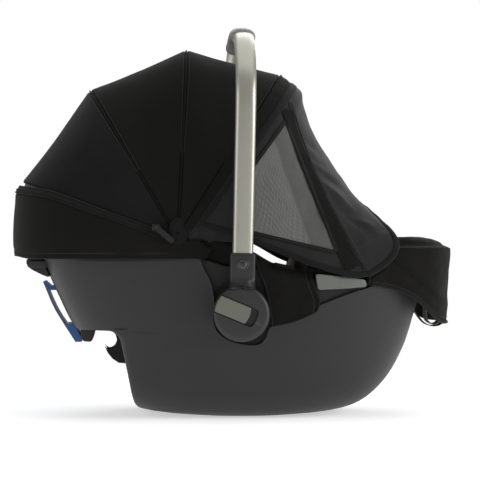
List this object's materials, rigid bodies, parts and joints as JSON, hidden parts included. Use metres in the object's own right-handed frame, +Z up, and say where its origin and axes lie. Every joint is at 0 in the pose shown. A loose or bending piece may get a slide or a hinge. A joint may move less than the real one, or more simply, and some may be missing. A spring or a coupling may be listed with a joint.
{
  "type": "infant car seat",
  "caption": "Rear-facing infant carrier: moulded bucket, swinging carry handle, folding canopy with pull-out mesh drape, padded seat with harness, and hooks that latch to a base.",
  "frame": {"origin": "on the floor under the middle of the bounding box", "axes": "+X towards the child's feet, +Y to the child's left, +Z up"},
  "size_m": [0.638, 0.4416, 0.5632],
  "materials": {
    "shell": "fine matte texture",
    "foam": "matte",
    "black_fabric": "woven, matte",
    "grey_fabric": "knitted, matte",
    "mesh_fabric": "open mesh",
    "handle_metal": "satin",
    "grip_leather": "satin",
    "trim": "satin",
    "button": "satin",
    "badge": "satin",
    "blue_plastic": "gloss",
    "steel": "polished",
    "hook_plastic": "satin",
    "webbing": "woven",
    "red_plastic": "gloss"
  },
  "bodies": {
    "seat": {"shell": "shell", "foam_liner": "foam", "seat_pad": "grey_fabric", "head_support": "grey_fabric", "foot_cover": "black_fabric", "shoulder_belt_guide": "blue_plastic", "canopy_bow_rear": "trim", "canopy_skirt": "black_fabric", "crotch_strap": "webbing", "buckle_body": "shell", "adjuster_housing": "shell", "adjuster_strap": "webbing", "zip_slider": "trim", "handle_mount_right": "trim", "pivot_pin_right": "steel", "canopy_mount_right": "trim", "belt_guide_right": "badge", "rim_flap_right": "black_fabric", "harness_strap_right": "webbing", "shoulder_pad_right": "grey_fabric", "buckle_tongue_right": "steel", "handle_mount_left": "trim", "pivot_pin_left": "steel", "canopy_mount_left": "trim", "belt_guide_left": "badge", "rim_flap_left": "black_fabric", "harness_strap_left": "webbing", "shoulder_pad_left": "grey_fabric", "buckle_tongue_left": "steel"},
    "handle": {"handle_tube": "handle_metal", "handle_grip": "grip_leather", "handle_socket_right": "trim", "handle_socket_left": "trim", "handle_screw_right": "steel", "handle_screw_left": "steel", "hub_cover_right": "trim", "hub_cover_left": "trim", "button_spring_right": "steel", "button_spring_left": "steel"},
    "handle_button_right": {"handle_button_right": "button"},
    "handle_button_left": {"handle_button_left": "button"},
    "canopy_middle": {"canopy_bow_middle": "trim", "canopy_panel_rear": "black_fabric"},
    "canopy_top": {"canopy_bow_top": "trim", "canopy_panel_middle": "black_fabric"},
    "canopy_front": {"canopy_bow_front": "trim", "canopy_panel_front": "black_fabric", "canopy_visor": "black_fabric", "drape_sheet": "grey_fabric", "drape_mesh_right": "mesh_fabric", "drape_mesh_left": "mesh_fabric"},
    "latch": {"latch_shaft": "steel", "latch_hook_right": "hook_plastic", "latch_hook_left": "hook_plastic"},
    "release": {"release_handle": "trim"},
    "buckle_button": {"buckle_button": "red_plastic"},
    "adjuster_button": {"adjuster_button": "trim"},
    "zip_pull": {"zip_pull": "badge"}
  },
  "joints": [
    {"name": "handle_swing", "type": "hinge", "parent": "seat", "child": "handle", "pos_m": [0.003, 0, 0.151], "axis": [0, 1, 0], "range_deg": [-105, 0]},
    {"name": "handle_button_right_press", "type": "slide", "parent": "handle", "child": "handle_button_right", "axis": [0, 1, 0], "range_m": [0, 0.0035], "stiffness_N_per_m": 700, "springref_m": -0.004, "deforming": ["button_spring_right"]},
    {"name": "handle_button_left_press", "type": "slide", "parent": "handle", "child": "handle_button_left", "axis": [0, -1, 0], "range_m": [0, 0.0035], "stiffness_N_per_m": 700, "springref_m": -0.004, "deforming": ["button_spring_left"]},
    {"name": "canopy_fold_middle", "type": "hinge", "parent": "seat", "child": "canopy_middle", "pos_m": [-0.085, 0, 0.256], "axis": [0, 1, 0], "range_deg": [-31.6, 0], "deforming": ["canopy_panel_rear"]},
    {"name": "canopy_fold_top", "type": "hinge", "parent": "canopy_middle", "child": "canopy_top", "pos_m": [-0.085, 0, 0.256], "axis": [0, 1, 0], "range_deg": [-25.7, 0], "deforming": ["canopy_panel_middle"]},
    {"name": "canopy_fold_front", "type": "hinge", "parent": "canopy_top", "child": "canopy_front", "pos_m": [-0.085, 0, 0.256], "axis": [0, 1, 0], "range_deg": [-21.9, 0], "deforming": ["canopy_panel_front", "canopy_visor", "drape_sheet", "drape_mesh_right", "drape_mesh_left"]},
    {"name": "base_release", "type": "hinge", "parent": "seat", "child": "release", "pos_m": [-0.29, 0, 0.219], "axis": [0, 1, 0], "range_deg": [0, 15], "stiffness_Nm_per_rad": 1.5, "springref_deg": -17.19},
    {"name": "latch_turn", "type": "hinge", "parent": "seat", "child": "latch", "pos_m": [-0.148, 0, 0.107], "axis": [0, 1, 0], "range_deg": [-35, 0]},
    {"name": "buckle_press", "type": "slide", "parent": "seat", "child": "buckle_button", "axis": [0.6102, 0, -0.7923], "range_m": [0, 0.003], "stiffness_N_per_m": 900, "springref_m": -0.003},
    {"name": "adjuster_press", "type": "slide", "parent": "seat", "child": "adjuster_button", "axis": [0.7081, 0, -0.7061], "range_m": [0, 0.0022], "stiffness_N_per_m": 900, "springref_m": -0.003},
    {"name": "zip_pull_swing", "type": "hinge", "parent": "seat", "child": "zip_pull", "pos_m": [-0.115, -0.19, 0.2705], "axis": [0, 1, 0], "range_deg": [-20, 50]}
  ],
  "couplings": [
    {"joint": "canopy_fold_top", "follows": "canopy_fold_middle", "ratio": 0.8131},
    {"joint": "canopy_fold_front", "follows": "canopy_fold_middle", "ratio": 0.6929},
    {"joint": "latch_turn", "follows": "base_release", "ratio": -2.333}
  ]
}
